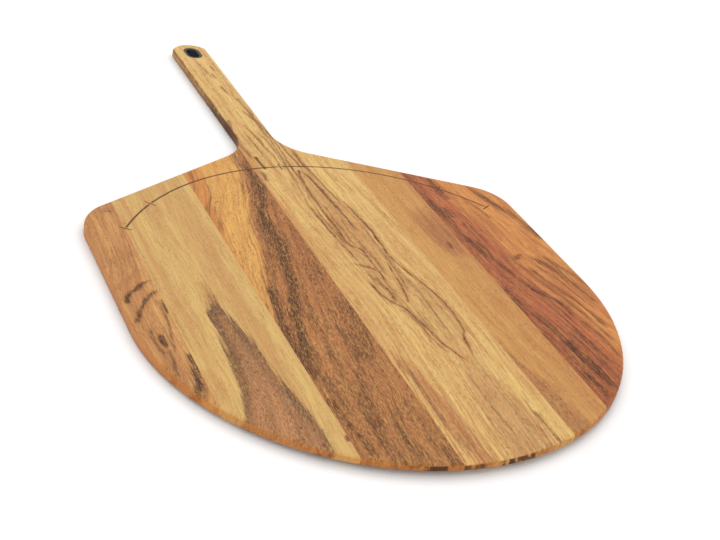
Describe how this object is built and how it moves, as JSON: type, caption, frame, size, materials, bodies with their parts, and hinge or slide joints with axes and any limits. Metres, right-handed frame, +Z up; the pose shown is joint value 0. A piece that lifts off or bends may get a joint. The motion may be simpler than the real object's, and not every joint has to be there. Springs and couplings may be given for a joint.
{
  "type": "pizza peel",
  "caption": "Flat wooden pizza peel with a round-fronted blade, sloping shoulders, a straight handle, a lined hanging slot and a burnt guide arc for cutting slices.",
  "frame": {"origin": "on the resting plane of the flat underside, under the middle of the peel's width and overall length", "axes": "+Y along the handle from the blade's front to the handle's end, +Z up out of the top face, +X to the right"},
  "size_m": [0.354, 0.6162, 0.009],
  "materials": {
    "left_edge_stave": "oiled, tan with dark growth lines",
    "left_wide_stave": "oiled, pale sapwood with a brown heartwood wedge",
    "left_inner_stave": "oiled, brown heartwood with dark streaks",
    "handle_stave": "oiled, golden with thin dark growth lines",
    "right_narrow_stave": "oiled, golden tan",
    "right_edge_stave": "oiled, red-brown heartwood and orange-tan sapwood",
    "liner": "satin charcoal black"
  },
  "bodies": {
    "root": {"left_edge_stave": "left_edge_stave", "left_wide_stave": "left_wide_stave", "left_inner_stave": "left_inner_stave", "handle_stave": "handle_stave", "right_narrow_stave": "right_narrow_stave", "right_edge_stave": "right_edge_stave", "hanging_slot_liner": "liner"}
  },
  "joints": []
}
